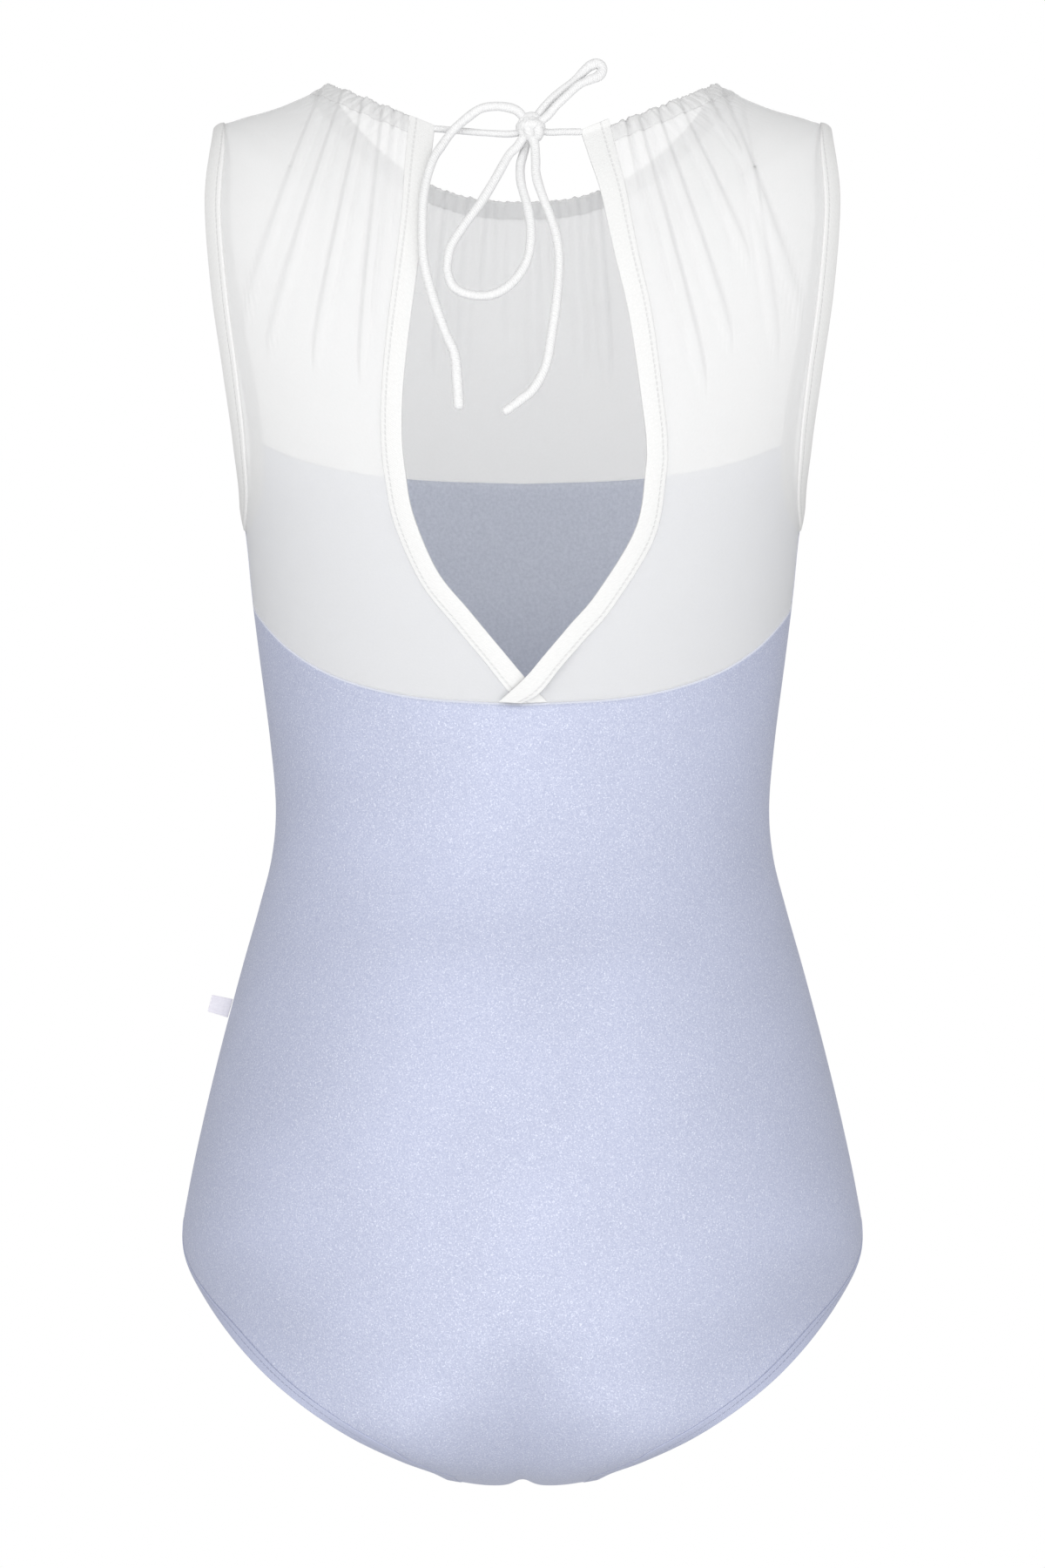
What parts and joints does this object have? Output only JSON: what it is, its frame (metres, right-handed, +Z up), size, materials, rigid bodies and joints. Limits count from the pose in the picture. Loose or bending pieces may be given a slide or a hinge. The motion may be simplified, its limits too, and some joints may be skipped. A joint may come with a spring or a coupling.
{
  "type": "leotard",
  "caption": "Sleeveless dance leotard, filled out with no wearer: pale blue velvet body, white stretch-mesh yoke gathered to a tied drawstring neck, open back",
  "frame": {"origin": "midway between the neck-side tops of the two shoulders", "axes": "+X wearer's left, +Y wearer's back, +Z up"},
  "size_m": [0.3122, 0.2235, 0.65],
  "materials": {
    "velvet": "short shimmering pile",
    "mesh": "semi-sheer stretch net",
    "binding": "matt elastic binding",
    "cord": "soft knitted cord",
    "tag": "woven tape"
  },
  "bodies": {
    "root": {"body_back": "velvet", "body_front": "velvet", "yoke_front": "mesh", "yoke_back_left": "mesh", "yoke_back_right": "mesh", "neck_casing_front": "binding", "neck_casing_back_left": "binding", "neck_casing_back_right": "binding", "keyhole_binding_left": "binding", "keyhole_binding_right": "binding", "armhole_binding_left": "binding", "armhole_binding_right": "binding", "leg_hem_left": "velvet", "leg_hem_right": "velvet", "side_tag": "tag", "tie_span_left": "cord", "tie_span_right": "cord", "tie_knot": "cord", "tie_loop_low": "cord", "tie_loop_high": "cord", "tie_end_left": "cord", "tie_end_right": "cord"}
  },
  "joints": []
}
